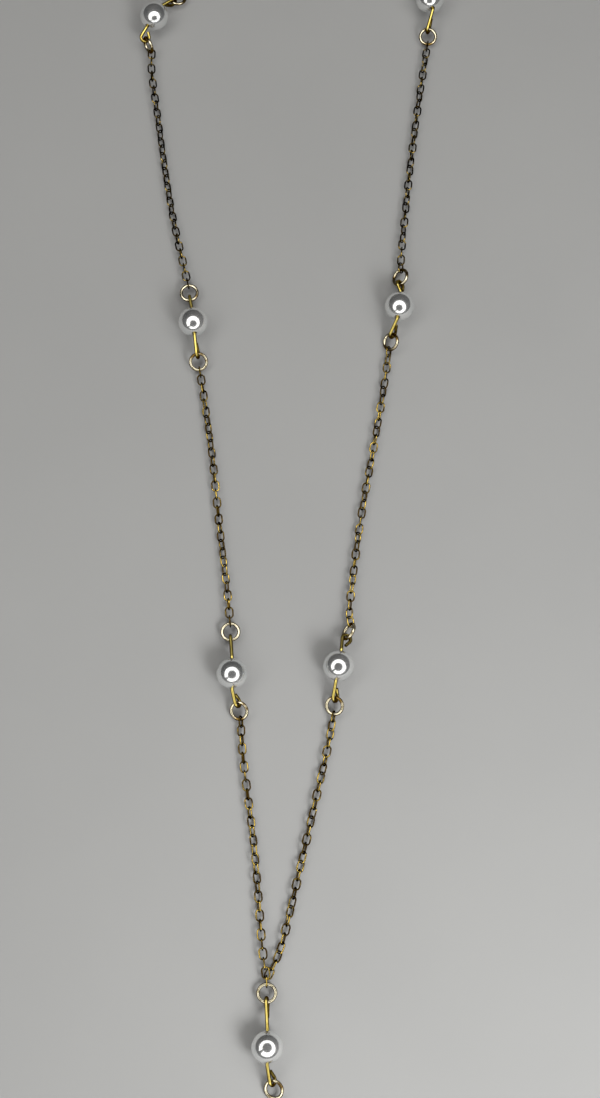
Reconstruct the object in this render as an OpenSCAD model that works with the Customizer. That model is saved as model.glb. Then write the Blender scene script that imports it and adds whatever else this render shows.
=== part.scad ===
// Lariat necklace: seven round pearls on eye pins, joined by jump rings and lengths of cable chain.
// It lies flat. X runs to the right, Y from the tail up to the neck, Z up from the floor.
// The origin is on the floor under the middle of the outline. All sizes are in millimetres.

/* [Pearls] */
// Diameter of a pearl
pearl_d = 8; // [7.2:0.1:8.8]
// Diameter of the hole drilled through a pearl
pearl_hole_d = 1.2; // [1.05:0.05:1.6]

/* [Eye pins] */
// Diameter of the wire of an eye pin
pin_wire_d = 0.88; // [0.7:0.02:0.9]
// Outer width of the eye at each end of a pin
eye_w = 3.2; // [3.1:0.05:3.6]
// Usual reach of an eye beyond its pearl, measured along the floor
eye_reach = 5.5; // [5:0.1:7]
// Distance from a pearl to the middle of the bend where an eye starts
neck_stand = 0.45; // [0.4:0.05:0.6]
// Opening between the free end of an eye and its own neck
eye_opening = 0.2; // [0.1:0.05:0.5]

/* [Jump rings] */
// Outer diameter of a jump ring
ring_od = 5.2; // [5:0.1:6]
// Diameter of the wire of a jump ring
ring_wire_d = 0.84; // [0.6:0.02:0.86]
// Width of the saw cut in a jump ring
ring_cut = 0.06; // [0.04:0.01:0.2]

/* [Chain] */
// Outer length of a chain link
link_l = 3.3; // [3.1:0.05:3.6]
// Outer width of a chain link
link_w = 2.25; // [2.2:0.05:2.4]
// Diameter of the wire of a chain link
link_wire_d = 0.41; // [0.3:0.01:0.44]
// Length over which a chain comes down from a ring to the floor
settle_l = 25; // [15:1:30]

/* [Fit] */
// Clearance between two wires that hold each other
clear = 0.1; // [0.1:0.01:0.13]
// Extra play where a jump ring passes through an eye or a link
ring_play = 0.08; // [0.06:0.01:0.12]

/* [Hidden] */
$fn = 32;
pearl_r = pearl_d / 2;
pin_r = pin_wire_d / 2;
eye_r = (eye_w - pin_wire_d) / 2;
ring_r = (ring_od - ring_wire_d) / 2;
link_a = (link_l - link_wire_d) / 2;
link_b = (link_w - link_wire_d) / 2;
link_pitch = link_l - 2 * link_wire_d - clear;
chain_z = link_w / 2;
spline_steps = 12;
// Turn from a ring's far end to its saw cut
cut_turn = 75;
// Radius of a ball in a pin, as a share of its wire's radius
ball_share = 1.01;
// A leg of an eye stops this far short of the middle of the ball at its end
leg_short = pin_r * sqrt(ball_share ^ 2 - 1) / 2;

// Distance between the middles of two wires that hold each other
eye_hold = (pin_wire_d + ring_wire_d) / 2 + clear + ring_play;
link_hold = (link_wire_d + ring_wire_d) / 2 + clear + ring_play;
stack_z = (link_wire_d + clear + ring_play) / 2;

// Route of the necklace, with the tail pearl at 0, 0: first the pearls in the order of PEARLS,
// then one row of points for each chain in the order of CHAINS
ROUTE = [
    [[0, 0], [-9.5, 93], [-21, 190.3], [-33.5, 284], [45, 289.5], [35, 194.9], [17.9, 95]],
    [[-1.5, 25], [-3.5, 48], [-6.5, 71]],
    [[-11, 115], [-13.5, 135], [-15.5, 153], [-18, 170]],
    [[-27, 221.5], [-29.5, 236], [-32, 253], [-34, 267]],
    [[-17.5, 299], [-6.5, 304.5], [6, 307], [19, 306.5], [30.5, 303.5]],
    [[42, 262], [39.5, 244], [37.5, 227], [36, 213]],
    [[31, 175], [28.5, 160], [24, 135], [21, 112]],
    [[15, 74], [12, 61], [9, 48], [3.5, 25]],
];

// Each pearl: its name, the heading of its pin on the floor and how far the pin leans down that way
NAME = 0;
PIN_HEADING = 1;
PIN_LEAN = 2;
PEARLS = [
    ["tail", 90, 0],
    ["left_low", 91, 0],
    ["left_mid", 97, 14],
    ["left_top", 62, 8],
    ["right_top", 100, 18],
    ["right_mid", 80, 17],
    ["right_low", 80, 0],
];

// Each jump ring: its name, its pearl, the heading of its eye from the pearl, 1 at the pin's front
// end or -1, the eye's reach as a share of eye_reach, the roll of the eye, the roll of the ring, how
// far the ring leans down away from the pearl, and how far it turns away from the eye's heading
PEARL = 1;
HEADING = 2;
PIN_END = 3;
REACH = 4;
EYE_ROLL = 5;
RING_ROLL = 6;
RING_LEAN = 7;
RING_TURN = 8;
RINGS = [
    ["tail_end", 0, -81, -1, 1, 128, 22, 17, 0],
    ["junction", 0, 91, 1, 1.5, 80, 0, 4, 0],
    ["left_low_down", 1, -79, -1, 0.9, 127, 24, 18, 0],
    ["left_low_up", 1, 93, 1, 1.25, 90, 0, 0, 0],
    ["left_mid_down", 2, -82, -1, 1.15, 103, 0, 22, 0],
    ["left_mid_up", 2, 98, 1, 0.9, 90, 0, 0, 0],
    ["left_top_down", 3, -111, -1, 0.82, 162, 80, 22, 48],
    ["left_top_up", 3, 50, 1, 0.95, 85, 0, 8, 0],
    ["right_top_up", 4, 118, 1, 0.95, 90, 0, 8, 20],
    ["right_top_down", 4, -93, -1, 1.1, 100, 0, 14, 0],
    ["right_mid_up", 5, 87, 1, 0.88, 48, -38, 2, 0],
    ["right_mid_down", 5, -104, -1, 0.95, 118, 36, 20, 0],
    ["right_low_up", 6, 74, 1, 0.95, 12, -58, 12, 0],
    ["right_low_down", 6, -96, -1, 1, 121, 20, 18, 0],
];
JUNCTION = 1;
TAIL_END = 0;

// Each chain: its name, the ring it starts at, the ring it ends at, the twist that each link adds
// to a quarter turn, and the roll that swells up toward the middle of the chain
FROM = 1;
TO = 2;
TWIST = 3;
SWELL = 4;
CHAINS = [
    ["left_low", 1, 2, 0, 45],
    ["left_mid", 3, 4, 6, 0],
    ["left_top", 5, 6, 0, 40],
    ["neck", 7, 8, 8, 0],
    ["right_top", 9, 10, 19, 0],
    ["right_mid", 11, 12, 20, 0],
    ["right_low", 13, 1, 20, 0],
];

// Directions, and frames turned about them

function unit(v) = v / norm(v);
// Direction with a heading on the floor that leans down by an angle
function toward(heading, lean) =
    [cos(heading) * cos(lean), sin(heading) * cos(lean), -sin(lean)];
function left_of(e) = unit(cross([0, 0, 1], e));
function across(e, roll) = cos(roll) * left_of(e) + sin(roll) * cross(e, left_of(e));

// Carries its children from the origin to o, with their X along e and rolled about it
module at(o, e, roll = 0) {
    y = across(e, roll);
    z = cross(e, y);
    multmatrix([
        [e.x, y.x, z.x, o.x],
        [e.y, y.y, z.y, o.y],
        [e.z, y.z, z.z, o.z],
    ]) children();
}

// Places of the pearls, pins, rings and eyes

function pearl_at(i) = [ROUTE[0][i].x, ROUTE[0][i].y, pearl_r];
function pin_way(i) = toward(PEARLS[i][PIN_HEADING], PEARLS[i][PIN_LEAN]);
function ring_way(i) = toward(RINGS[i][HEADING] + RINGS[i][RING_TURN], RINGS[i][RING_LEAN]);
function ring_across(i) = across(ring_way(i), RINGS[i][RING_ROLL]);
// Half of a ring's outer size along one axis
function ring_half(i, axis) =
    ring_r * norm([ring_way(i)[axis], ring_across(i)[axis]]) + ring_wire_d / 2;
// Height of the end of a ring that a chain holds, before the ring is lifted clear of the floor
function held_z(i) = i == TAIL_END ? 0 : i == JUNCTION ? chain_z + stack_z : chain_z;
// Height of its other end above the floor with room for the eye
function eye_room(i) = eye_r * abs(sin(RINGS[i][EYE_ROLL])) + pin_r;
function ring_z(i) =
    let (rise = ring_r * sin(RINGS[i][RING_LEAN]))
    max(ring_half(i, 2), held_z(i) + rise, eye_room(i) - rise);
// How far from the pearl's middle a ring's wire passes through its eye, along the floor
function hold_out(i) = pearl_r + eye_reach * RINGS[i][REACH] - pin_r - eye_hold;
function eye_side(i) =
    let (p = pearl_at(RINGS[i][PEARL]), z = ring_z(i) + ring_r * sin(RINGS[i][RING_LEAN]))
    [p.x, p.y, z] + hold_out(i) * toward(RINGS[i][HEADING], 0);
function ring_at(i) = eye_side(i) + ring_r * ring_way(i);
// Where a ring holds its chain
function chain_side(i) = eye_side(i) + 2 * ring_r * ring_way(i);
function neck_at(i) = pearl_at(RINGS[i][PEARL])
    + (pearl_r + neck_stand) * RINGS[i][PIN_END] * pin_way(RINGS[i][PEARL]);

// The centre link stands on edge between the junction ring and the last links of two chains
function centre_way() = toward(RINGS[JUNCTION][HEADING], 0);
function centre_link_at() = chain_side(JUNCTION) + (link_a - link_hold) * centre_way();
// How far from the centre link's middle the wires of two stacked last links fit
function stack_out() =
    let (room = link_b - link_wire_d - clear)
    link_a - link_b + sqrt(room ^ 2 - stack_z ^ 2);
function stack_at(side) =
    centre_link_at() + (stack_out() - clear - ring_play) * centre_way() + [0, 0, side * stack_z];

// Chain routes

function spline(a, b, c, d, t) =
    b + t / 2 * (c - a + t * (2 * a - 5 * b + 4 * c - d + t * (3 * b - a - 3 * c + d)));
function curve(points) =
    let (last = len(points) - 1)
    concat(
        [for (i = [0:last - 1], s = [0:spline_steps - 1])
            let (a = i > 0 ? points[i - 1] : 2 * points[0] - points[1])
            let (d = i + 2 <= last ? points[i + 2] : 2 * points[last] - points[last - 1])
            spline(a, points[i], points[i + 1], d, s / spline_steps)],
        [points[last]]
    );
function runs(path) = [for (
    i = 0, s = 0;
    i < len(path);
    s = s + (i + 1 < len(path) ? norm(path[i + 1] - path[i]) : 0), i = i + 1
) s];
function flat(p) = [p.x, p.y];
function last_of(v) = v[len(v) - 1];

// The two ends of a chain's route: where the wire that it holds is
function start_at(c) = CHAINS[c][FROM] == JUNCTION ? stack_at(1) : chain_side(CHAINS[c][FROM]);
function end_at(c) = CHAINS[c][TO] == JUNCTION ? stack_at(-1) : chain_side(CHAINS[c][TO]);
// Distance from there to the middle of the first or last link
function end_gap(ring) = ring == JUNCTION ? link_a : link_a - link_hold;
// Roll of the link at an end: square to its ring, or flat in the centre link
function start_roll(c) = CHAINS[c][FROM] == JUNCTION ? 0 : RINGS[CHAINS[c][FROM]][RING_ROLL] + 90;
function end_roll(c) = CHAINS[c][TO] == JUNCTION ? 0 : 90 - RINGS[CHAINS[c][TO]][RING_ROLL];

function settle(z, s) = (z - chain_z) * (1 + cos(180 * min(1, s / settle_l))) / 2;
// Every link of a chain: its middle, its direction and its roll
function links(c) =
    let (path = curve(concat([flat(start_at(c))], ROUTE[c + 1], [flat(end_at(c))])))
    let (s = runs(path), total = last_of(s))
    let (xs = [for (i = [0:len(s) - 1]) [s[i], path[i].x]])
    let (ys = [for (i = [0:len(s) - 1]) [s[i], path[i].y]])
    let (first = end_gap(CHAINS[c][FROM]), last = total - end_gap(CHAINS[c][TO]))
    let (n = ceil((last - first) / link_pitch), step = (last - first) / n)
    let (turn = end_roll(c) - start_roll(c))
    let (half_turns = round(((90 + CHAINS[c][TWIST]) * n - turn) / 180))
    let (spin = (turn + 180 * half_turns) / n)
    [for (j = [0:n])
        let (m = first + j * step)
        let (p = [for (at = [m - step / 2, m, m + step / 2])
            [lookup(at, xs), lookup(at, ys),
                chain_z + settle(start_at(c).z, at) + settle(end_at(c).z, total - at)]])
        [p[1], unit(p[2] - p[0]), start_roll(c) + j * spin + CHAINS[c][SWELL] * sin(180 * j / n) ^ 2]];
// Half of a link's outer size along one axis
function link_half(link, axis) =
    let (e = link[1], y = across(link[1], link[2]))
    (link_a - link_b) * abs(e[axis]) + link_b * norm([e[axis], y[axis]]) + link_wire_d / 2;

// The outline's middle, which the origin stands under
all_links = [for (c = [0:len(CHAINS) - 1]) each links(c)];
function outline(axis, side) = concat(
    [for (i = [0:len(PEARLS) - 1]) side * pearl_at(i)[axis] + pearl_r],
    [for (i = [0:len(RINGS) - 1]) side * ring_at(i)[axis] + ring_half(i, axis)],
    [for (l = all_links) side * l[0][axis] + link_half(l, axis)]
);
function middle(axis) = (max(outline(axis, 1)) - max(outline(axis, -1))) / 2;
home = [-middle(0), -middle(1), 0];

// Pieces

module wire(length, d) {
    rotate([0, 90, 0]) cylinder(d = d, h = length);
}

module arc_wire(r, d, angle) {
    rotate_extrude(angle = angle) translate([r, 0]) circle(d = d);
}

// Ball that joins two stretches of pin wire, with its poles on the wire
module ball() {
    rotate([0, 90, 0]) sphere(r = pin_r * ball_share);
}

module pearl(i) {
    color("whitesmoke")
    at(home + pearl_at(i), pin_way(i))
    difference() {
        sphere(r = pearl_r);
        rotate([0, 90, 0]) cylinder(d = pearl_hole_d, h = 2 * pearl_d, center = true);
    }
}

// Teardrop eye from its neck at the origin: a leg, a round end and a leg that stops short of the neck
module eye(length) {
    slant = asin(eye_r / length);
    leg = sqrt(length ^ 2 - eye_r ^ 2);
    free_end = (pin_wire_d + eye_opening) / (2 * sin(slant));
    ball();
    for (side = [-1, 1]) {
        rotate([0, 0, side * slant]) translate([leg, 0, 0]) ball();
    }
    rotate([0, 0, slant]) wire(leg - leg_short, pin_wire_d);
    rotate([0, 0, -slant]) translate([free_end, 0, 0]) wire(leg - leg_short - free_end, pin_wire_d);
    translate([length, 0, 0]) rotate([0, 0, -90 - slant]) arc_wire(eye_r, pin_wire_d, 180 + 2 * slant);
}

module eye_pin(i) {
    color("goldenrod")
    translate(home + pearl_at(i)) {
        at([0, 0, 0], pin_way(i))
            translate([-pearl_r - neck_stand, 0, 0]) wire(2 * (pearl_r + neck_stand), pin_wire_d);
        for (r = [0:len(RINGS) - 1]) {
            if (RINGS[r][PEARL] == i) {
                neck = neck_at(r) - pearl_at(i);
                reach = eye_side(r) - pearl_at(i) - neck;
                at(neck, unit(reach), RINGS[r][EYE_ROLL]) eye(norm(reach) - eye_r + eye_hold);
            }
        }
    }
}

module jump_ring(i) {
    cut = 2 * asin(ring_cut / (2 * ring_r));
    color("palegoldenrod")
    at(home + ring_at(i), ring_way(i), RINGS[i][RING_ROLL])
        rotate([0, 0, cut_turn]) arc_wire(ring_r, ring_wire_d, 360 - cut);
}

module link() {
    straight = link_a - link_b;
    for (side = [-1, 1]) {
        translate([-straight, side * link_b, 0]) wire(2 * straight, link_wire_d);
        translate([side * straight, 0, 0]) rotate([0, 0, side * -90]) arc_wire(link_b, link_wire_d, 180);
    }
}

module chain(c) {
    color([0.36, 0.27, 0.16])
    for (l = links(c)) {
        at(home + l[0], l[1], l[2]) link();
    }
}

module centre_link() {
    color([0.36, 0.27, 0.16])
    at(home + centre_link_at(), centre_way(), 90) link();
}

for (i = [0:len(PEARLS) - 1]) {
    pearl(i);
    eye_pin(i);
}
for (i = [0:len(RINGS) - 1]) {
    jump_ring(i);
}
for (c = [0:len(CHAINS) - 1]) {
    chain(c);
}
centre_link();
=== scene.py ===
"""Lariat necklace of pearls on gold eye pins, with jump rings and fine cable chain, on a pale floor.

Lengths are in metres and angles in degrees, unless said otherwise.
"""

import logging
import math
from dataclasses import dataclass, replace
from enum import Enum

import bmesh
import bpy
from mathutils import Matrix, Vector, noise

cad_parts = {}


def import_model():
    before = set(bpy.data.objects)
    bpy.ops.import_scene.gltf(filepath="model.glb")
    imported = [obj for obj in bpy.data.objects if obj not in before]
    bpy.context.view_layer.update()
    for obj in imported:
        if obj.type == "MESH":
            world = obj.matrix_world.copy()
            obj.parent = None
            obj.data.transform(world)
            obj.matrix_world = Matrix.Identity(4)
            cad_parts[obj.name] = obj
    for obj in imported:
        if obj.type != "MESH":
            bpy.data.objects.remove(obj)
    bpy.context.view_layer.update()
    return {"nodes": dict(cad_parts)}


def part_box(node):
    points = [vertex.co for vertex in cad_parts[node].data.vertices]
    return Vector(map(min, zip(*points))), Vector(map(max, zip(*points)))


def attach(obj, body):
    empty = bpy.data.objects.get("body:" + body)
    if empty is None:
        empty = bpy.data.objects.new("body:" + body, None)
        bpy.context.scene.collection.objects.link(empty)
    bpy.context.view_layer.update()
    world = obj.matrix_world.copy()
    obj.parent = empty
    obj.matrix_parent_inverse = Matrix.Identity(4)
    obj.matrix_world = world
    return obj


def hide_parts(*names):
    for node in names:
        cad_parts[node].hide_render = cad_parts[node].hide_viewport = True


Colour = tuple[float, float, float]
Point = tuple[float, float, float]
Object = bpy.types.Object
Material = bpy.types.Material
Node = bpy.types.ShaderNode
Socket = bpy.types.NodeSocket

MM = 0.001
# Height of the middle of a lying chain above the floor, where the rub and the painted shade low down have
# no effect on its patches
WIRE_LEVEL_MM = 1.1
# Places of the sockets that a Mix node uses for colours
MIX_FACTOR, MIX_A, MIX_B, MIX_RESULT = 0, 6, 7, 2
ROOT = "root"
log = logging.getLogger("necklace")


class Slot(Enum):
    """The record's material slots. The main materials of the wires carry the same names."""

    PEARL = "pearl"
    PIN = "pin_gold"
    RING = "ring_gold"
    CHAIN = "chain_brass"


class Out(Enum):
    """Outputs of the node groups that materials share."""

    MASK = "Mask"
    HEIGHT = "Height"
    ROUGHNESS = "Roughness"


class Tree:
    """A node tree with short calls for the nodes that the finishes use."""

    def __init__(self, graph: bpy.types.NodeTree, material: Material | None = None) -> None:
        """Wraps a node tree, with the material that it belongs to, if any."""
        self.graph = graph
        self.material = material

    @classmethod
    def of_material(cls, name: str) -> "Tree":
        """Makes a new material with an empty tree.

        Args:
            name: The material's name.

        Returns:
            The tree, with the material in its field.
        """
        material = bpy.data.materials.new(name)
        material.use_nodes = True
        material.node_tree.nodes.clear()
        return cls(material.node_tree, material)

    def add(self, kind: str, **settings: object) -> Node:
        """Adds one node.

        Args:
            kind: The node's type.
            settings: Its properties.

        Returns:
            The node.
        """
        node = self.graph.nodes.new(kind)
        for key, value in settings.items():
            setattr(node, key, value)
        return node

    def link(self, source: Socket, target: Socket) -> None:
        """Links two sockets."""
        self.graph.links.new(source, target)

    def feed(self, socket: Socket, value: Socket | Colour | float) -> None:
        """Links a socket to another, or sets its number or colour.

        Args:
            socket: The socket to feed.
            value: The other socket, or the number or colour.
        """
        if isinstance(value, Socket):
            self.link(value, socket)
        elif socket.type == "RGBA":
            socket.default_value = (*value, 1.0)
        else:
            socket.default_value = value

    def principled(self) -> Node:
        """Adds the surface shader and the output.

        Returns:
            The shader.
        """
        shader = self.add("ShaderNodeBsdfPrincipled")
        output = self.add("ShaderNodeOutputMaterial")
        self.link(shader.outputs["BSDF"], output.inputs["Surface"])
        return shader

    def object_place(self, seed: float) -> Socket:
        """Gives the place on the object in millimetres.

        Args:
            seed: How far all places are moved along each axis, so that two materials differ.

        Returns:
            The place.
        """
        coords = self.add("ShaderNodeTexCoord")
        scaled = self.add("ShaderNodeVectorMath", operation="MULTIPLY_ADD")
        self.link(coords.outputs["Object"], scaled.inputs[0])
        scaled.inputs[1].default_value = (1 / MM, 1 / MM, 1 / MM)
        scaled.inputs[2].default_value = (seed, seed, seed)
        return scaled.outputs["Vector"]

    def upward(self) -> Socket:
        """Gives how far the surface faces up.

        Returns:
            1 on top of a lying wire and 0 at its sides.
        """
        coords = self.add("ShaderNodeTexCoord")
        parts = self.add("ShaderNodeSeparateXYZ")
        self.link(coords.outputs["Normal"], parts.inputs["Vector"])
        return parts.outputs["Z"]

    def group(self, group: bpy.types.NodeTree, values: dict[str, Socket | float]) -> Node:
        """Adds a shared group.

        Args:
            group: The shader node group.
            values: A socket or a number for each of its inputs that isn't 0.

        Returns:
            The group's node.
        """
        node = self.add("ShaderNodeGroup")
        node.node_tree = group
        for key, value in values.items():
            self.feed(node.inputs[key], value)
        return node

    def mix(self, factor: Socket, a: Colour, b: Socket | Colour) -> Socket:
        """Mixes two colours.

        Args:
            factor: 0 for the first colour and 1 for the second.
            a: The first colour.
            b: The second colour.

        Returns:
            The mixed colour.
        """
        node = self.add("ShaderNodeMix", data_type="RGBA")
        self.link(factor, node.inputs[MIX_FACTOR])
        self.feed(node.inputs[MIX_A], a)
        self.feed(node.inputs[MIX_B], b)
        return node.outputs[MIX_RESULT]

    def spread(self, value: Socket, low: float, high: float) -> Socket:
        """Spreads a value over a range.

        Args:
            value: A value from 0 to 1.
            low: What 0 becomes.
            high: What 1 becomes.

        Returns:
            The value in its new range.
        """
        node = self.add("ShaderNodeMapRange")
        self.feed(node.inputs["Value"], value)
        self.feed(node.inputs["To Min"], low)
        self.feed(node.inputs["To Max"], high)
        return node.outputs["Result"]

    def narrow(self, value: Socket, low: Socket | float, high: Socket | float) -> Socket:
        """Turns a range of a value into a smooth step.

        Args:
            value: The value.
            low: Where the step starts.
            high: Where the step ends.

        Returns:
            0 up to where the step starts, and 1 from where it ends.
        """
        node = self.add("ShaderNodeMapRange", interpolation_type="SMOOTHSTEP")
        self.feed(node.inputs["Value"], value)
        self.feed(node.inputs["From Min"], low)
        self.feed(node.inputs["From Max"], high)
        return node.outputs["Result"]

    def maths(self, operation: str, a: Socket | float, b: Socket | float) -> Socket:
        """Works out one sum.

        Args:
            operation: The name of the operation.
            a: The first number.
            b: The second number.

        Returns:
            The result.
        """
        node = self.add("ShaderNodeMath", operation=operation)
        self.feed(node.inputs[0], a)
        self.feed(node.inputs[1], b)
        return node.outputs[0]

    def clouds(self, place: Socket, size: Socket, detail: float) -> Socket:
        """Makes noise.

        Args:
            place: The place to read it at.
            size: The size of its patches.
            detail: How many finer layers it has.

        Returns:
            The noise, from 0 to 1.
        """
        node = self.add("ShaderNodeTexNoise")
        self.link(place, node.inputs["Vector"])
        self.link(self.maths("DIVIDE", 1.0, size), node.inputs["Scale"])
        node.inputs["Detail"].default_value = detail
        return node.outputs["Fac"]

    def bump(self, height: Socket, depth_mm: float) -> Socket:
        """Turns a height into a normal.

        Args:
            height: The height, from 0 to 1.
            depth_mm: What a height of 1 stands for.

        Returns:
            The normal.
        """
        node = self.add("ShaderNodeBump")
        node.inputs["Distance"].default_value = depth_mm * MM
        self.link(height, node.inputs["Height"])
        return node.outputs["Normal"]


class ShaderKit:
    """The shader node groups that more than one material uses.

    The dull spots are spot_size times as large as the fine marks, and they fade in where their noise runs
    from spot_from to spot_to.
    """

    cloud_detail = 3.0
    mark_detail = 4.0
    spot_detail = 2.0
    spot_size = 6.0
    spot_from = 0.45
    spot_to = 0.75

    def __init__(self) -> None:
        """Builds the groups."""
        self.cloud = self._cloud()
        self.wear = self._wear()

    @staticmethod
    def _group(name: str, numbers: tuple[str, ...], outputs: tuple[Out, ...]) -> tuple[Tree, Node, Node]:
        """Starts a group that works from a place and some numbers.

        Args:
            name: The group's name.
            numbers: The names of the inputs after Place.
            outputs: The outputs, all numbers.

        Returns:
            The tree, its input node and its output node.
        """
        group = bpy.data.node_groups.new(name, "ShaderNodeTree")
        group.interface.new_socket("Place", in_out="INPUT", socket_type="NodeSocketVector")
        for key in numbers:
            group.interface.new_socket(key, in_out="INPUT", socket_type="NodeSocketFloat")
        for out in outputs:
            group.interface.new_socket(out.value, in_out="OUTPUT", socket_type="NodeSocketFloat")
        tree = Tree(group)
        return tree, tree.add("NodeGroupInput"), tree.add("NodeGroupOutput")

    def _cloud(self) -> bpy.types.NodeTree:
        """Builds the group of soft patches, which get fewer above the level, by the rub for each mm:
        painted shade low down near the floor, with wear on the high spots.

        Returns:
            The group.
        """
        tree, given, result = self._group(
            "cloudy patches", ("Patch", "From", "To", "Rub and low shade", "Level"), (Out.MASK,)
        )
        value = tree.clouds(given.outputs["Place"], given.outputs["Patch"], self.cloud_detail)
        parts = tree.add("ShaderNodeSeparateXYZ")
        tree.link(given.outputs["Place"], parts.inputs["Vector"])
        height = tree.maths("SUBTRACT", parts.outputs["Z"], given.outputs["Level"])
        # Painted shade: dark patches are kept lower down, so the wire darkens toward the floor, and they
        # thin out higher up like wear.
        rubbed_and_shaded = tree.maths("SUBTRACT", value, tree.maths("MULTIPLY", height, given.outputs["Rub and low shade"]))
        mask = tree.narrow(rubbed_and_shaded, given.outputs["From"], given.outputs["To"])
        tree.link(mask, result.inputs[Out.MASK.value])
        return tree.graph

    def _wear(self) -> bpy.types.NodeTree:
        """Builds the group of fine marks and broader dull spots.

        Returns:
            The group.
        """
        tree, given, result = self._group(
            "handling wear", ("Mark", "Base", "Dull"), (Out.HEIGHT, Out.ROUGHNESS)
        )
        fine = tree.clouds(given.outputs["Place"], given.outputs["Mark"], self.mark_detail)
        size = tree.maths("MULTIPLY", given.outputs["Mark"], self.spot_size)
        broad = tree.clouds(given.outputs["Place"], size, self.spot_detail)
        spots = tree.narrow(broad, self.spot_from, self.spot_to)
        dulling = tree.maths("MULTIPLY", spots, given.outputs["Dull"])
        dulled = tree.maths("ADD", given.outputs["Base"], dulling)
        tree.link(fine, result.inputs[Out.HEIGHT.value])
        tree.link(dulled, result.inputs[Out.ROUGHNESS.value])
        return tree.graph


@dataclass(frozen=True)
class MetalFinish:
    """Plated wire: bright on top with patches of a darker tone, and a painted shade down its sides, where
    the surface faces sideways or down.

    Attributes:
        name: The material's name.
        bright: The main tone on top of the wire.
        dark: The tone of the patches.
        side: The painted shade on the sides.
        edge: The tint of what is mirrored at a glancing angle.
        cloud_mm: The size of the patches.
        dark_from: Where the dark tone starts to fade in, in the noise of the patches.
        dark_to: Where it has faded in.
        rub_and_low_shade: How much fewer the patches get for each mm of height above WIRE_LEVEL_MM, which
            darkens the wire low down as painted shade and leaves its high spots bright like wear.
        roughness: The roughness of the clean metal.
        dull: What dull spots add to it.
        mark_mm: The size of the fine marks.
        mark_depth: Their depth in mm.
        seed: Moves the patches and marks, so that two finishes differ.
        side_at: How far up the surface faces where the painted shade of the sides ends.
        top_at: How far up it faces where the top starts.
    """

    name: str
    bright: Colour
    dark: Colour
    side: Colour
    edge: Colour
    cloud_mm: float
    dark_from: float
    dark_to: float
    rub_and_low_shade: float
    roughness: float
    dull: float
    mark_mm: float
    mark_depth: float
    seed: float
    side_at: float
    top_at: float

    def build(self, kit: ShaderKit) -> Material:
        """Makes the material.

        Args:
            kit: The shared node groups.

        Returns:
            The material, ready to be put in a slot.
        """
        tree = Tree.of_material(self.name)
        place = tree.object_place(self.seed)
        cloud = tree.group(
            kit.cloud,
            {
                "Place": place,
                "Patch": self.cloud_mm,
                "From": self.dark_from,
                "To": self.dark_to,
                "Rub and low shade": self.rub_and_low_shade,
                "Level": self.seed + WIRE_LEVEL_MM,
            },
        )
        wear = tree.group(
            kit.wear,
            {"Place": place, "Mark": self.mark_mm, "Base": self.roughness, "Dull": self.dull},
        )
        patches = tree.mix(cloud.outputs[Out.MASK.value], self.bright, self.dark)
        # Painted shade: where the surface faces sideways or down, the wire takes the side tone instead of
        # its patches.
        tone = tree.mix(tree.narrow(tree.upward(), self.side_at, self.top_at), self.side, patches)
        bump = tree.bump(wear.outputs[Out.HEIGHT.value], self.mark_depth)
        shader = tree.principled()
        tree.link(tone, shader.inputs["Base Color"])
        tree.link(wear.outputs[Out.ROUGHNESS.value], shader.inputs["Roughness"])
        tree.link(bump, shader.inputs["Normal"])
        shader.inputs["Metallic"].default_value = 1.0
        shader.inputs["Specular Tint"].default_value = (*self.edge, 1.0)
        return tree.material


@dataclass(frozen=True)
class PearlFinish:
    """Lustre coat over a white bead: a cool overtone in patches, a silvery mirror and a smooth clear skin.

    Attributes:
        name: The material's name.
        body: The main tone.
        overtone: The tone of the patches.
        patch_mm: The size of the patches.
        patch_from: Where the overtone starts to fade in, in the noise of the patches.
        patch_to: Where it has faded in.
        mirror: How much the lustre mirrors like metal.
        mirror_spread: How far that varies up and down with the patches.
        roughness: The roughness of the lustre.
        dull: What dull spots add to it.
        skin_mm: The size of the fine unevenness of the skin.
        skin_depth: Its depth in mm.
        coat: The weight of the clear skin.
        coat_roughness: The roughness of the clear skin.
    """

    name: str
    body: Colour
    overtone: Colour
    patch_mm: float
    patch_from: float
    patch_to: float
    mirror: float
    mirror_spread: float
    roughness: float
    dull: float
    skin_mm: float
    skin_depth: float
    coat: float
    coat_roughness: float

    def build(self, kit: ShaderKit) -> Material:
        """Makes the material.

        Args:
            kit: The shared node groups.

        Returns:
            The material, ready to be put on a pearl.
        """
        tree = Tree.of_material(self.name)
        place = tree.object_place(0.0)
        cloud = tree.group(
            kit.cloud,
            {"Place": place, "Patch": self.patch_mm, "From": self.patch_from, "To": self.patch_to},
        )
        wear = tree.group(
            kit.wear,
            {"Place": place, "Mark": self.skin_mm, "Base": self.roughness, "Dull": self.dull},
        )
        mask = cloud.outputs[Out.MASK.value]
        tone = tree.mix(mask, self.body, self.overtone)
        mirror = tree.spread(mask, self.mirror - self.mirror_spread, self.mirror + self.mirror_spread)
        bump = tree.bump(wear.outputs[Out.HEIGHT.value], self.skin_depth)
        shader = tree.principled()
        tree.link(tone, shader.inputs["Base Color"])
        tree.link(mirror, shader.inputs["Metallic"])
        tree.link(wear.outputs[Out.ROUGHNESS.value], shader.inputs["Roughness"])
        tree.link(bump, shader.inputs["Normal"])
        shader.inputs["Coat Weight"].default_value = self.coat
        shader.inputs["Coat Roughness"].default_value = self.coat_roughness
        return tree.material


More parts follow.
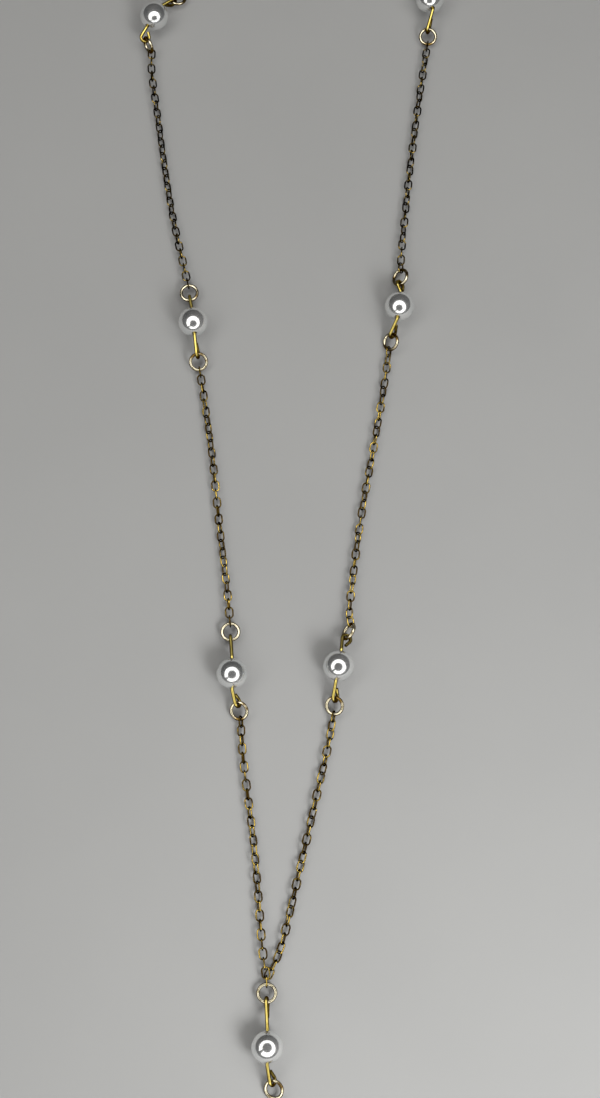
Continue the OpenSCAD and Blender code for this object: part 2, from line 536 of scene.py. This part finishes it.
@dataclass(frozen=True)
class FloorFinish:
    """Matt pale floor with a faint mottle.

    Attributes:
        name: The material's name.
        pale: The main tone.
        deep: The tone of the mottle.
        patch_mm: The size of the mottle.
        patch_from: Where it starts to fade in, in its noise.
        patch_to: Where it has faded in.
        roughness: The roughness.
    """

    name: str
    pale: Colour
    deep: Colour
    patch_mm: float
    patch_from: float
    patch_to: float
    roughness: float

    def build(self, kit: ShaderKit) -> Material:
        """Makes the material.

        Args:
            kit: The shared node groups.

        Returns:
            The floor's material.
        """
        tree = Tree.of_material(self.name)
        cloud = tree.group(
            kit.cloud,
            {
                "Place": tree.object_place(0.0),
                "Patch": self.patch_mm,
                "From": self.patch_from,
                "To": self.patch_to,
            },
        )
        tone = tree.mix(cloud.outputs[Out.MASK.value], self.pale, self.deep)
        shader = tree.principled()
        tree.link(tone, shader.inputs["Base Color"])
        shader.inputs["Roughness"].default_value = self.roughness
        return tree.material


@dataclass(frozen=True)
class LampFinish:
    """Plain glow of a lamp.

    Attributes:
        name: The material's name.
        colour: Its colour.
        strength: Its brightness.
    """

    name: str
    colour: Colour
    strength: float

    def build(self) -> Material:
        """Makes the material.

        Returns:
            The glowing material.
        """
        tree = Tree.of_material(self.name)
        shader = tree.principled()
        shader.inputs["Base Color"].default_value = (0.0, 0.0, 0.0, 1.0)
        shader.inputs["Emission Color"].default_value = (*self.colour, 1.0)
        shader.inputs["Emission Strength"].default_value = self.strength
        return tree.material


PEARL_SKIN = PearlFinish(
    name="pearl_lustre",
    body=(0.84, 0.84, 0.83),
    overtone=(0.78, 0.80, 0.80),
    patch_mm=5.0,
    patch_from=0.3,
    patch_to=0.7,
    mirror=0.84,
    mirror_spread=0.03,
    roughness=0.16,
    dull=0.03,
    skin_mm=0.5,
    skin_depth=0.0015,
    coat=1.0,
    coat_roughness=0.03,
)
# The side tone of each metal finish is a painted shade on the wire's sides.
PIN_GOLD = MetalFinish(
    name=Slot.PIN.value,
    bright=(0.95, 0.76, 0.20),
    dark=(0.50, 0.34, 0.05),
    side=(0.09, 0.055, 0.004),
    edge=(0.35, 0.23, 0.04),
    cloud_mm=2.6,
    dark_from=0.54,
    dark_to=0.74,
    rub_and_low_shade=0.0,
    roughness=0.28,
    dull=0.06,
    mark_mm=0.3,
    mark_depth=0.002,
    seed=3.0,
    side_at=0.55,
    top_at=0.92,
)
RING_GOLD = MetalFinish(
    name=Slot.RING.value,
    bright=(1.0, 0.92, 0.66),
    dark=(0.26, 0.16, 0.04),
    side=(0.13, 0.08, 0.01),
    edge=(0.35, 0.25, 0.08),
    cloud_mm=4.2,
    dark_from=0.50,
    dark_to=0.62,
    rub_and_low_shade=0.0,
    roughness=0.24,
    dull=0.08,
    mark_mm=0.4,
    mark_depth=0.001,
    seed=11.0,
    side_at=0.50,
    top_at=0.90,
)
CHAIN_BRASS = MetalFinish(
    name=Slot.CHAIN.value,
    bright=(0.90, 0.65, 0.15),
    dark=(0.10, 0.058, 0.008),
    side=(0.015, 0.009, 0.001),
    edge=(0.10, 0.06, 0.01),
    cloud_mm=3.2,
    dark_from=0.35,
    dark_to=0.51,
    # rub keeps the dark patches low down: painted shade near the floor, with wear on the high spots
    rub_and_low_shade=0.06,
    roughness=0.18,
    dull=0.10,
    mark_mm=0.3,
    mark_depth=0.004,
    seed=23.0,
    side_at=0.56,
    top_at=0.94,
)
# Painted shade: a darker copy of the chain brass for the upper chains, where less light falls.
CHAIN_BRASS_SHADED = replace(
    CHAIN_BRASS,
    name="chain_brass_painted_shade",
    bright=(0.62, 0.45, 0.13),
    dark=(0.05, 0.03, 0.005),
    seed=31.0,
)
FLOOR = FloorFinish(
    name="floor_plain",
    pale=(0.393, 0.395, 0.390),
    deep=(0.377, 0.379, 0.375),
    patch_mm=60.0,
    patch_from=0.2,
    patch_to=0.8,
    roughness=0.9,
)


def dress(obj: Object, material: Material) -> None:
    """Gives an object one material in all its slots.

    Args:
        obj: The object.
        material: The material.
    """
    if not obj.material_slots:
        obj.data.materials.append(material)
    for slot in obj.material_slots:
        slot.material = material


def mesh_object(name: str, built: bmesh.types.BMesh, smooth: bool) -> Object:
    """Turns a built mesh into an object in the scene.

    Args:
        name: The object's name.
        built: The mesh, which is freed.
        smooth: Whether its faces are shaded smooth.

    Returns:
        The object.
    """
    mesh = bpy.data.meshes.new(name)
    built.to_mesh(mesh)
    built.free()
    for face in mesh.polygons:
        face.use_smooth = smooth
    obj = bpy.data.objects.new(name, mesh)
    bpy.context.scene.collection.objects.link(obj)
    return obj


@dataclass
class PearlBead:
    """One pearl: a bead drilled through along its pin, with a rounded mouth at each end of the hole.

    Attributes:
        name: The bead's name.
        centre: Its middle.
        axis: The direction of its hole.
        seed: Makes its unevenness differ from that of other beads.
        radius: Its radius.
        hole_radius: The radius of its hole.
        mouth: The width and depth of the rounded mouth.
        mouth_steps: The shares of the mouth's depth at which it has a loop of points.
        inside_share: The share of the mouth's width within which points aren't sunk.
        rings: The number of bands from mouth to mouth.
        sides: The number of points in a loop.
        unevenness: The most that a point of the surface is sunk.
        unevenness_scale: How fast that changes over the bead.
    """

    name: str
    centre: Vector
    axis: Vector
    seed: int
    radius: float = 4.0 * MM
    hole_radius: float = 0.6 * MM
    mouth: float = 0.16 * MM
    mouth_steps: tuple[float, ...] = (0.35, 0.7, 1.0)
    inside_share: float = 0.99
    rings: int = 72
    sides: int = 120
    unevenness: float = 0.02 * MM
    unevenness_scale: float = 1.4

    def profile(self) -> list[tuple[float, float]]:
        """Works out the outline that is turned about the axis.

        Returns:
            Distances along the axis and from it, out of one mouth, over the bead and into the other.
        """
        flare = math.asin((self.hole_radius + self.mouth) / self.radius)
        span = math.pi - 2 * flare
        turns = [flare + span * step / self.rings for step in range(self.rings + 1)]
        outer = [(-self.radius * math.cos(turn), self.radius * math.sin(turn)) for turn in turns]
        start, end = outer[0], outer[-1]
        lip = [
            (step * self.mouth, start[1] - self.mouth * math.sin(step * math.pi / 2))
            for step in self.mouth_steps
        ]
        head = [(start[0] + along, out) for along, out in reversed(lip)]
        foot = [(end[0] - along, out) for along, out in lip]
        return head + outer + foot

    def sink(self, local: Vector, out: float) -> Vector:
        """Works out how far a point is sunk, so that the bead isn't perfectly round.

        Args:
            local: The point, seen from the bead's middle.
            out: Its distance from the axis.

        Returns:
            The outward move that is taken off the point, none in the hole and its mouths.
        """
        if out <= self.hole_radius + self.mouth * self.inside_share:
            return Vector()
        outward = local.normalized()
        uneven = noise.noise(outward * self.unevenness_scale + Vector((self.seed, 0.0, 0.0)))
        return outward * self.unevenness * (1 + uneven) / 2

    def build(self) -> Object:
        """Builds the bead where its node is.

        Returns:
            The bead.
        """
        turn = self.axis.to_track_quat("X", "Z")
        built = bmesh.new()
        loops = []
        for along, out in self.profile():
            loop = []
            for side in range(self.sides):
                angle = 2 * math.pi * side / self.sides
                local = Vector((along, out * math.cos(angle), out * math.sin(angle)))
                loop.append(built.verts.new(self.centre + turn @ (local - self.sink(local, out))))
            loops.append(loop)
        loops.append(loops[0])
        for near, far in zip(loops, loops[1:]):
            for side in range(self.sides):
                after = (side + 1) % self.sides
                built.faces.new((near[side], near[after], far[after], far[side]))
        bmesh.ops.recalc_face_normals(built, faces=built.faces)
        return mesh_object(self.name, built, smooth=True)


@dataclass
class Pearls:
    """All the pearls, each made in place of its plain node.

    Attributes:
        finish: Their finish.
        prefix: The start of the names of their nodes.
        pins: The place of each, its pin's heading on the floor and how far the pin leans down that way.
    """

    finish: PearlFinish = PEARL_SKIN
    prefix: str = "pearl_"
    pins: tuple[tuple[str, float, float], ...] = (
        ("tail", 90, 0),
        ("left_low", 91, 0),
        ("left_mid", 97, 14),
        ("left_top", 62, 8),
        ("right_top", 100, 18),
        ("right_mid", 80, 17),
        ("right_low", 80, 0),
    )

    def build(self, nodes: dict[str, Object], kit: ShaderKit) -> None:
        """Builds and dresses the pearls.

        Args:
            nodes: The CAD nodes by name.
            kit: The shared node groups.
        """
        skin = self.finish.build(kit)
        for seed, (place, heading, lean) in enumerate(self.pins):
            name = self.prefix + place
            low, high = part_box(name)
            pearl = PearlBead(f"bead_{place}", (low + high) / 2, self.way(heading, lean), seed).build()
            dress(pearl, skin)
            dress(nodes[name], skin)
            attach(pearl, ROOT)
            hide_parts(name)
            log.info("pearl %s on its pin", pearl.name)

    @staticmethod
    def way(heading: float, lean: float) -> Vector:
        """Returns the direction of a pin that has a heading on the floor and leans down that way."""
        turn, dip = math.radians(heading), math.radians(lean)
        return Vector((math.cos(turn) * math.cos(dip), math.sin(turn) * math.cos(dip), -math.sin(dip)))


@dataclass
class Wires:
    """Nodes of one kind of wire, which keep their own shape and take a finish.

    Attributes:
        starts: What their names start with.
        finish: Their finish.
    """

    starts: tuple[str, ...]
    finish: MetalFinish

    def dress(self, nodes: dict[str, Object], kit: ShaderKit) -> None:
        """Dresses every node whose name starts with one of the starts.

        Args:
            nodes: The CAD nodes by name.
            kit: The shared node groups.
        """
        metal = self.finish.build(kit)
        for name in sorted(n for n in nodes if n.startswith(self.starts)):
            dress(nodes[name], metal)
            log.info("%s in %s", name, self.finish.name)


LOWER_CHAINS = ("chain_left_low", "chain_right_low", "chain_left_mid", "chain_right_mid", "centre_link")
UPPER_CHAINS = ("chain_left_top", "chain_right_top", "chain_neck")
WIRES = (
    Wires(("eye_pin_",), PIN_GOLD),
    Wires(("jump_ring_",), RING_GOLD),
    Wires(LOWER_CHAINS, CHAIN_BRASS),
    # The upper chains take the painted shade copy of the chain brass.
    Wires(UPPER_CHAINS, CHAIN_BRASS_SHADED),
)


@dataclass
class PhotoCamera:
    """The camera, above the tail and tilted toward the neck.

    Attributes:
        place: Where it stands.
        tilt: How far it is tilted from straight down.
        lens: Its focal length in mm.
        sensor: The longer side of its sensor in mm.
        near: The nearest distance that it sees.
    """

    place: Point = (0.00222, -0.15982, 0.486)
    tilt: float = 16.0
    lens: float = 62.774
    sensor: float = 36.0
    near: float = 0.01

    def build(self) -> None:
        """Makes the camera and looks through it."""
        data = bpy.data.cameras.new("photo_camera")
        data.sensor_fit = "AUTO"
        data.sensor_width = self.sensor
        data.lens = self.lens
        data.clip_start = self.near
        camera = bpy.data.objects.new("photo_camera", data)
        bpy.context.scene.collection.objects.link(camera)
        camera.location = self.place
        camera.rotation_euler = (math.radians(self.tilt), 0.0, 0.0)
        bpy.context.scene.camera = camera
        log.info("camera at %s", tuple(camera.location))


@dataclass(frozen=True)
class RingLamp:
    """Flat ring lamp before the camera and tilted with it, with a gap where its ends meet.

    Its sizes are those that it has right at the camera. Nearer the tail pearl it shrinks by the same share,
    so that the tail pearl sees it under the same angle.

    Attributes:
        name: The lamp's name.
        share: How far it stands from the tail pearl, as a share of the way to the camera.
        in_gloss: Whether it is what shiny surfaces mirror, or what lights everything matt.
        strength: Its brightness.
        colour: Its colour.
        inner: Its inner radius.
        outer: Its outer radius.
        shift: How far the outer edge is moved down in the picture.
        gap_from: Where the gap starts.
        gap_to: Where the gap ends.
        sides: The number of flat pieces that it is made of.
    """

    name: str
    share: float
    in_gloss: bool
    strength: float
    colour: Colour = (1.0, 0.985, 0.96)
    inner: float = 0.325
    outer: float = 0.76
    shift: float = 0.06
    gap_from: float = 203.0
    gap_to: float = 224.0
    sides: int = 96

    def build(self, camera: PhotoCamera, target: Vector) -> None:
        """Builds the lamp.

        Args:
            camera: The camera that it stands before.
            target: The middle of the tail pearl.
        """
        built = bmesh.new()
        span = 360 - (self.gap_to - self.gap_from)
        edges = []
        for step in range(self.sides + 1):
            angle = math.radians(self.gap_to + span * step / self.sides)
            way = Vector((math.cos(angle), math.sin(angle), 0.0)) * self.share
            outer = way * self.outer - Vector((0.0, self.shift * self.share, 0.0))
            edges.append([built.verts.new(way * self.inner), built.verts.new(outer)])
        for near, far in zip(edges, edges[1:]):
            built.faces.new((near[0], far[0], far[1], near[1]))
        lamp = mesh_object(self.name, built, smooth=False)
        lamp.location = target.lerp(Vector(camera.place), self.share)
        lamp.rotation_euler = (math.radians(camera.tilt), 0.0, 0.0)
        dress(lamp, LampFinish(f"{self.name}_glow", self.colour, self.strength).build())
        lamp.visible_camera = False
        lamp.visible_shadow = False
        lamp.visible_glossy = self.in_gloss
        lamp.visible_diffuse = not self.in_gloss


@dataclass
class Studio:
    """Floor, lights and surroundings.

    Attributes:
        camera: The camera that the ring lamps stand before.
        floor_half: Half of the floor's side.
        floor_cells: The number of faces along its side.
        floor_drop: How far it lies below the necklace, so that their faces don't meet.
        rings: The ring lamps.
        fill_place: Where the fill lamp stands.
        fill_size: Its side.
        fill_power: Its power in watts.
        sky_low: The room's tone low down and on the tail's side.
        sky_high: Its tone overhead and on the neck's side.
        sky_from: Where the second tone starts to fade in, in the direction's upward part.
        sky_to: Where it has faded in.
        sky_back: How much the part toward the neck counts beside the upward part.
    """

    camera: PhotoCamera
    floor_half: float = 2.4
    floor_cells: int = 4
    floor_drop: float = 0.02 * MM
    rings: tuple[RingLamp, ...] = (
        RingLamp("ring_lamp", share=1.0, in_gloss=False, strength=1.68),
        RingLamp("ring_mirrored", share=0.50, in_gloss=True, strength=2.1),
    )
    fill_place: Point = (0.195, -0.317, 0.279)
    fill_size: float = 0.16
    fill_power: float = 1.2
    sky_low: Colour = (0.05, 0.05, 0.05)
    sky_high: Colour = (0.02, 0.02, 0.02)
    sky_from: float = -0.5
    sky_to: float = 1.1
    sky_back: float = 0.9

    def floor(self, kit: ShaderKit) -> None:
        """Makes the floor under the necklace.

        Args:
            kit: The shared node groups.
        """
        built = bmesh.new()
        cells = self.floor_cells
        bmesh.ops.create_grid(built, x_segments=cells, y_segments=cells, size=self.floor_half)
        plane = mesh_object("floor", built, smooth=False)
        plane.location.z = -self.floor_drop
        dress(plane, FLOOR.build(kit))

    def fill_lamp(self, target: Vector) -> None:
        """Makes the small lamp that brightens the floor near the tail and isn't mirrored.

        Args:
            target: The middle of the tail pearl, which it points at.
        """
        data = bpy.data.lights.new("fill_lamp", "AREA")
        data.size = self.fill_size
        data.energy = self.fill_power
        lamp = bpy.data.objects.new("fill_lamp", data)
        bpy.context.scene.collection.objects.link(lamp)
        lamp.location = self.fill_place
        lamp.rotation_euler = (target - lamp.location).to_track_quat("-Z", "Y").to_euler()
        lamp.visible_glossy = False

    def surroundings(self) -> None:
        """Makes a dim room, darkest overhead and toward the neck's side."""
        world = bpy.data.worlds.new("dim_room")
        bpy.context.scene.world = world
        world.use_nodes = True
        world.node_tree.nodes.clear()
        tree = Tree(world.node_tree)
        coords = tree.add("ShaderNodeTexCoord")
        parts = tree.add("ShaderNodeSeparateXYZ")
        tree.link(coords.outputs["Generated"], parts.inputs["Vector"])
        toward_neck = tree.maths("MULTIPLY", parts.outputs["Y"], self.sky_back)
        slope = tree.maths("ADD", parts.outputs["Z"], toward_neck)
        glow = tree.mix(tree.narrow(slope, self.sky_from, self.sky_to), self.sky_low, self.sky_high)
        back = tree.add("ShaderNodeBackground")
        tree.link(glow, back.inputs["Color"])
        output = tree.add("ShaderNodeOutputWorld")
        tree.link(back.outputs["Background"], output.inputs["Surface"])

    def build(self, kit: ShaderKit) -> None:
        """Builds the floor, the lamps and the room.

        Args:
            kit: The shared node groups.
        """
        self.floor(kit)
        low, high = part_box("pearl_tail")
        target = (low + high) / 2
        for ring in self.rings:
            ring.build(self.camera, target)
        self.fill_lamp(target)
        self.surroundings()
        log.info("studio ready")


def main() -> None:
    """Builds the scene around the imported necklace."""
    logging.basicConfig(level=logging.INFO, format="%(name)s: %(message)s")
    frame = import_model()
    nodes = frame["nodes"]
    bpy.context.scene.view_settings.view_transform = "Standard"
    camera = PhotoCamera()
    camera.build()
    kit = ShaderKit()
    Pearls().build(nodes, kit)
    for wires in WIRES:
        wires.dress(nodes, kit)
    Studio(camera).build(kit)


if __name__ == "__main__":
    main()
